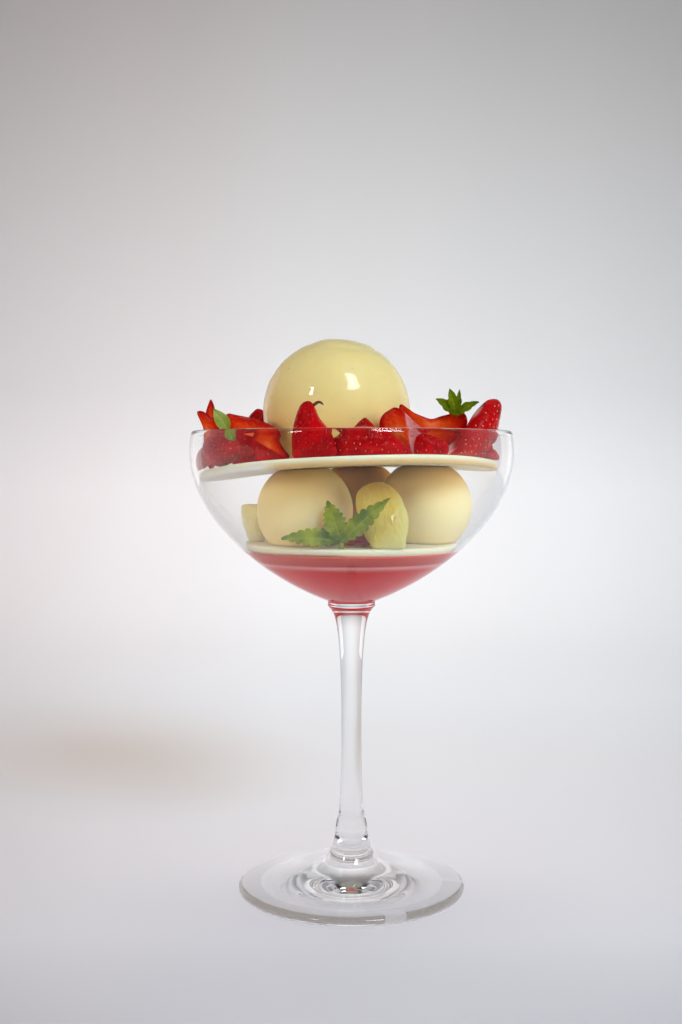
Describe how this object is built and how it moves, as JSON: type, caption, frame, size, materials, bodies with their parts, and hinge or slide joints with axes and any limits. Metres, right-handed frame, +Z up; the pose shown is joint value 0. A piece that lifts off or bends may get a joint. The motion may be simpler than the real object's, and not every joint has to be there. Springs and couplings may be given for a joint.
{
  "type": "strawberry sundae in coupe glass",
  "caption": "Sundae in a stemmed coupe glass: sauce, two thin discs with scoops of pale ice cream between and on top, ringed with cut strawberries, with citrus and mint.",
  "frame": {"origin": "centre of the foot's underside, on the surface it stands on", "axes": "+Z up along the stem, -Y towards the side with the mint sprig"},
  "size_m": [0.1176, 0.1176, 0.2018],
  "materials": {
    "clear_glass": "clear, polished, thin walled",
    "strawberry_sauce": "glossy smooth fruit sauce",
    "white_chocolate": "smooth, satin",
    "white_ice_cream": "smooth and slightly melted, with fine ice grains",
    "citrus_flesh": "wet, translucent pulp",
    "green_leaf": "leaf, satin",
    "strawberry_flesh": "glossy seeded skin and wet cut flesh"
  },
  "bodies": {
    "root": {"glass": "clear_glass", "sauce": "strawberry_sauce", "lower_disc": "white_chocolate", "upper_disc": "white_chocolate", "scoop_left": "white_ice_cream", "scoop_right": "white_ice_cream", "scoop_back": "white_ice_cream", "scoop_top": "white_ice_cream", "citrus_front": "citrus_flesh", "citrus_left": "citrus_flesh", "mint_sprig": "green_leaf", "calyx_right": "green_leaf", "calyx_left": "green_leaf", "strawberry_01": "strawberry_flesh", "strawberry_02": "strawberry_flesh", "strawberry_03": "strawberry_flesh", "strawberry_04": "strawberry_flesh", "strawberry_05": "strawberry_flesh", "strawberry_06": "strawberry_flesh", "strawberry_07": "strawberry_flesh", "strawberry_08": "strawberry_flesh", "strawberry_09": "strawberry_flesh", "strawberry_10": "strawberry_flesh", "strawberry_11": "strawberry_flesh", "strawberry_12": "strawberry_flesh", "strawberry_13": "strawberry_flesh", "strawberry_14": "strawberry_flesh", "strawberry_15": "strawberry_flesh", "strawberry_16": "strawberry_flesh", "strawberry_17": "strawberry_flesh", "strawberry_18": "strawberry_flesh", "strawberry_19": "strawberry_flesh", "strawberry_20": "strawberry_flesh", "strawberry_21": "strawberry_flesh", "strawberry_22": "strawberry_flesh"}
  },
  "joints": []
}
